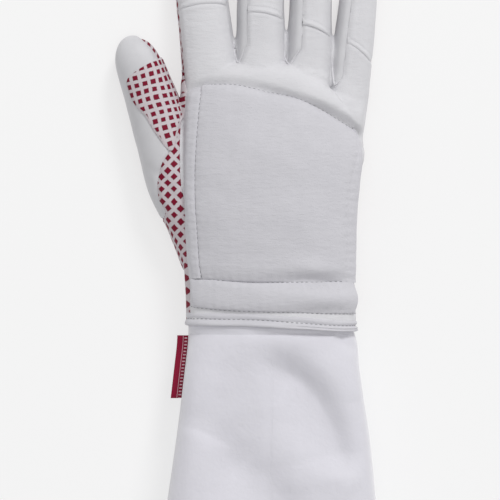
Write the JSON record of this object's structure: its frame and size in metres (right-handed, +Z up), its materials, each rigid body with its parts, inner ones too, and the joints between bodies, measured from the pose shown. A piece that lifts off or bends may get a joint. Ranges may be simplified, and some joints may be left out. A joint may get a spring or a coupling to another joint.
{
  "type": "fencing glove",
  "caption": "White long-cuffed fencing glove for the right hand with a quilted back, a crimson-dotted grip palm, side strips between the fingers and an open gauntlet.",
  "frame": {"origin": "centre of the outer box, on the surface that the palm rests on", "axes": "+Y from the cuff's mouth towards the fingertips, +Z up out of the back of the hand, +X across towards the little finger; the thumb is on the -X side"},
  "size_m": [0.1464, 0.3878, 0.06],
  "materials": {
    "suede": "matt white synthetic suede",
    "leather": "smooth matt white synthetic leather",
    "grip": "pinkish white knit with raised crimson squares",
    "cloth": "smooth white woven cloth",
    "ribbon": "woven crimson ribbon"
  },
  "bodies": {
    "root": {"hand_back": "suede", "finger_cover_index": "suede", "finger_cover_middle": "suede", "finger_cover_ring": "suede", "finger_cover_little": "suede", "knuckle_welt_index": "suede", "knuckle_welt_middle": "suede", "knuckle_welt_ring": "suede", "knuckle_welt_little": "suede", "pad_main": "suede", "pad_radial_channel": "suede", "pad_ulnar_channel": "suede", "pad_wrist_channel": "suede", "wrist_hem": "suede", "side_strip_index_middle": "leather", "side_strip_middle_ring": "leather", "side_strip_ring_little": "leather", "thumb_panel": "leather", "grip_palm": "grip", "thumb_patch": "grip", "cuff": "cloth", "side_label": "ribbon"}
  },
  "joints": []
}
